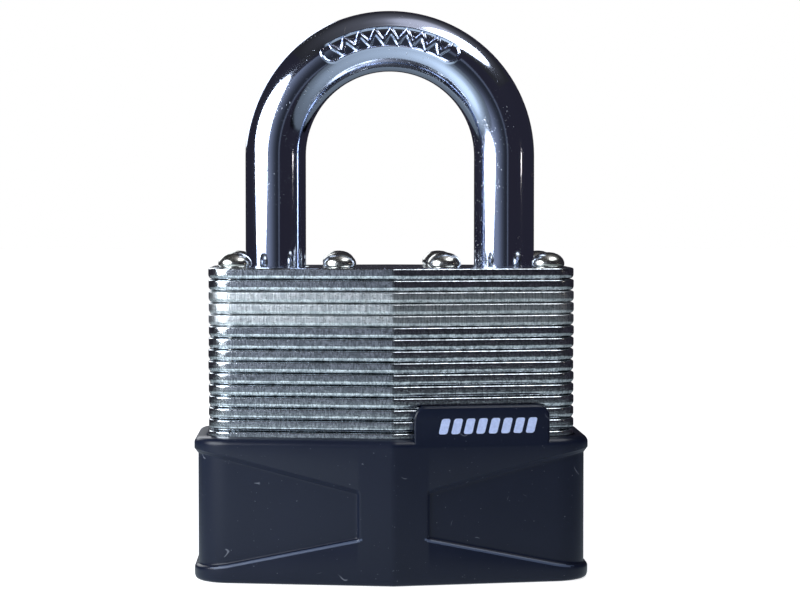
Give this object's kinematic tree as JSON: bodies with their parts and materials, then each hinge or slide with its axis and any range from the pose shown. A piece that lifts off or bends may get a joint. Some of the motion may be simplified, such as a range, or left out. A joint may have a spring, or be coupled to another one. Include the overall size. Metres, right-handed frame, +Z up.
{
  "type": "padlock",
  "caption": "Laminated steel padlock with a chromed shackle, riveted plates, a moulded bumper round its foot and a key cylinder that works two locking levers.",
  "frame": {"origin": "middle of the resting face under the body", "axes": "+Z up through the shackle, +X to the right of the front face, -Y out of the front face"},
  "size_m": [0.0546, 0.031, 0.0789],
  "materials": {
    "zinc_plate": "bright zinc plate, rolled edges, satin",
    "shackle_chrome": "mirror chrome",
    "rivet_steel": "bright domed",
    "hardened_steel": "ground",
    "spring_steel": "drawn wire",
    "cylinder_brass": "machined",
    "bumper_plastic": "fine satin moulding"
  },
  "bodies": {
    "body": {"plate_01": "zinc_plate", "plate_02": "zinc_plate", "plate_03": "zinc_plate", "plate_04": "zinc_plate", "plate_05": "zinc_plate", "plate_06": "zinc_plate", "plate_07": "zinc_plate", "plate_08": "zinc_plate", "plate_09": "zinc_plate", "plate_10": "zinc_plate", "plate_11": "zinc_plate", "plate_12": "zinc_plate", "plate_13": "zinc_plate", "plate_14": "zinc_plate", "plate_15": "zinc_plate", "plate_16": "zinc_plate", "plate_17": "zinc_plate", "plate_18": "zinc_plate", "plate_19": "zinc_plate", "plate_20": "zinc_plate", "plate_21": "zinc_plate", "plate_22": "zinc_plate", "plate_23": "zinc_plate", "plate_24": "zinc_plate", "plate_25": "zinc_plate", "plate_26": "zinc_plate", "rivet_front_1": "rivet_steel", "rivet_front_2": "rivet_steel", "rivet_front_3": "rivet_steel", "rivet_front_4": "rivet_steel", "rivet_back_1": "rivet_steel", "rivet_back_2": "rivet_steel", "rivet_back_3": "rivet_steel", "rivet_back_4": "rivet_steel", "bumper": "bumper_plastic", "cylinder_shell": "cylinder_brass", "pin_chamber_cap": "cylinder_brass", "shackle_spring": "spring_steel", "lever_spring_toe": "spring_steel", "lever_spring_heel": "spring_steel", "driver_spring_1": "spring_steel", "driver_spring_2": "spring_steel", "driver_spring_3": "spring_steel", "driver_spring_4": "spring_steel"},
    "shackle": {"shackle": "shackle_chrome", "shackle_retaining_clip": "spring_steel"},
    "plug": {"cylinder_plug": "cylinder_brass", "plug_clip": "spring_steel", "cam": "hardened_steel"},
    "lever_toe": {"locking_lever_toe": "hardened_steel"},
    "lever_heel": {"locking_lever_heel": "hardened_steel"},
    "key_pin_1": {"key_pin_1": "cylinder_brass"},
    "driver_pin_1": {"driver_pin_1": "cylinder_brass"},
    "key_pin_2": {"key_pin_2": "cylinder_brass"},
    "driver_pin_2": {"driver_pin_2": "cylinder_brass"},
    "key_pin_3": {"key_pin_3": "cylinder_brass"},
    "driver_pin_3": {"driver_pin_3": "cylinder_brass"},
    "key_pin_4": {"key_pin_4": "cylinder_brass"},
    "driver_pin_4": {"driver_pin_4": "cylinder_brass"}
  },
  "joints": [
    {"name": "shackle_lift", "type": "slide", "parent": "body", "child": "shackle", "axis": [0, 0, 1], "range_m": [0, 0.012], "deforming": ["shackle_spring"]},
    {"name": "plug_turn", "type": "hinge", "parent": "body", "child": "plug", "pos_m": [0, 0, 0.012], "axis": [0, 0, 1], "range_deg": [0, 90]},
    {"name": "lever_toe_slide", "type": "slide", "parent": "body", "child": "lever_toe", "axis": [1, 0, 0], "range_m": [0, 0.00176], "deforming": ["lever_spring_toe"]},
    {"name": "lever_heel_slide", "type": "slide", "parent": "body", "child": "lever_heel", "axis": [-1, 0, 0], "range_m": [0, 0.00176], "deforming": ["lever_spring_heel"]},
    {"name": "key_pin_1_slide", "type": "slide", "parent": "plug", "child": "key_pin_1", "axis": [0, 1, 0], "range_m": [0, 0.0023]},
    {"name": "key_pin_2_slide", "type": "slide", "parent": "plug", "child": "key_pin_2", "axis": [0, 1, 0], "range_m": [0, 0.0017]},
    {"name": "key_pin_3_slide", "type": "slide", "parent": "plug", "child": "key_pin_3", "axis": [0, 1, 0], "range_m": [0, 0.002]},
    {"name": "key_pin_4_slide", "type": "slide", "parent": "plug", "child": "key_pin_4", "axis": [0, 1, 0], "range_m": [0, 0.0014]},
    {"name": "driver_pin_1_slide", "type": "slide", "parent": "body", "child": "driver_pin_1", "axis": [1, 0, 0], "range_m": [0, 0.0018], "stiffness_N_per_m": 40, "deforming": ["driver_spring_1"]},
    {"name": "driver_pin_2_slide", "type": "slide", "parent": "body", "child": "driver_pin_2", "axis": [1, 0, 0], "range_m": [0, 0.0018], "stiffness_N_per_m": 40, "deforming": ["driver_spring_2"]},
    {"name": "driver_pin_3_slide", "type": "slide", "parent": "body", "child": "driver_pin_3", "axis": [1, 0, 0], "range_m": [0, 0.0018], "stiffness_N_per_m": 40, "deforming": ["driver_spring_3"]},
    {"name": "driver_pin_4_slide", "type": "slide", "parent": "body", "child": "driver_pin_4", "axis": [1, 0, 0], "range_m": [0, 0.0018], "stiffness_N_per_m": 40, "deforming": ["driver_spring_4"]}
  ],
  "couplings": [
    {"joint": "lever_toe_slide", "follows": "plug_turn", "m_per_rad": 0.0011141},
    {"joint": "lever_heel_slide", "follows": "plug_turn", "m_per_rad": 0.0011141}
  ]
}
